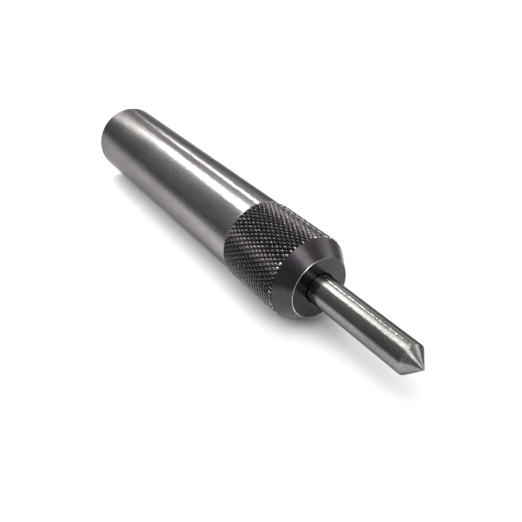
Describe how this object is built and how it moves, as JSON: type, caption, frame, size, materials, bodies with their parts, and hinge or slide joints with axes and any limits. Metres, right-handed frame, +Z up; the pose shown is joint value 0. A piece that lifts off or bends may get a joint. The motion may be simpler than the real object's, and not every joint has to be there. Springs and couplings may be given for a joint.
{
  "type": "automatic centre punch",
  "caption": "Spring-loaded centre punch: smooth cylindrical shank, diamond-knurled collar with a conical nose, and a thin sliding pin with a sharp conical point.",
  "frame": {"origin": "on the tool's axis, at the centre of the shank's rear face", "axes": "+X along the axis from the shank's rear face to the point, +Z up with the tool lying on its side, +Y to complete the right-handed frame"},
  "size_m": [0.1014, 0.0166, 0.0166],
  "materials": {
    "ground_steel": "fine cylindrical grinding, bright",
    "turned_steel": "fine turned, bare",
    "polished_steel": "polished, hardened",
    "hardened_steel": "ground, hardened, grey",
    "black_oxide_steel": "black oxide, satin",
    "spring_steel": "drawn wire, lightly oiled"
  },
  "bodies": {
    "shank": {"barrel": "ground_steel", "stop_sleeve": "turned_steel", "retaining_ring": "spring_steel"},
    "bush": {"guide_bush": "turned_steel"},
    "collar": {"knurled_collar": "black_oxide_steel"},
    "punch": {"punch_pin": "polished_steel", "drive_stem": "polished_steel"},
    "striker": {"hammer": "hardened_steel", "return_spring": "spring_steel", "catch_spring": "spring_steel"},
    "catch": {"release_catch": "hardened_steel"},
    "seat": {"spring_seat": "turned_steel", "mainspring": "spring_steel"},
    "adjuster": {"adjusting_screw": "black_oxide_steel"}
  },
  "joints": [
    {"name": "collar_travel", "type": "slide", "parent": "shank", "child": "bush", "axis": [1, 0, 0], "range_m": [0, 0.005]},
    {"name": "collar_turn", "type": "hinge", "parent": "bush", "child": "collar", "pos_m": [0.068, 0, 0], "axis": [1, 0, 0], "range_deg": [0, 1800]},
    {"name": "punch_slide", "type": "slide", "parent": "bush", "child": "punch", "axis": [-1, 0, 0], "range_m": [0, 0.007], "stiffness_N_per_m": 6000, "springref_m": -0.004},
    {"name": "hammer_slide", "type": "slide", "parent": "shank", "child": "striker", "axis": [-1, 0, 0], "range_m": [0, 0.007], "deforming": ["mainspring"]},
    {"name": "catch_slide", "type": "slide", "parent": "striker", "child": "catch", "axis": [0, 0, -1], "range_m": [0, 0.00105], "deforming": ["catch_spring"]},
    {"name": "adjuster_travel", "type": "slide", "parent": "shank", "child": "seat", "axis": [1, 0, 0], "range_m": [0, 0.002], "deforming": ["mainspring"]},
    {"name": "adjuster_turn", "type": "hinge", "parent": "seat", "child": "adjuster", "pos_m": [0.005, 0, 0], "axis": [1, 0, 0], "range_deg": [0, 720]}
  ],
  "couplings": [
    {"joint": "collar_turn", "follows": "collar_travel", "rad_per_m": 6283.2},
    {"joint": "hammer_slide", "follows": "punch_slide", "ratio": 1},
    {"joint": "catch_slide", "follows": "punch_slide", "ratio": 0.15},
    {"joint": "adjuster_turn", "follows": "adjuster_travel", "rad_per_m": 6283.2}
  ]
}
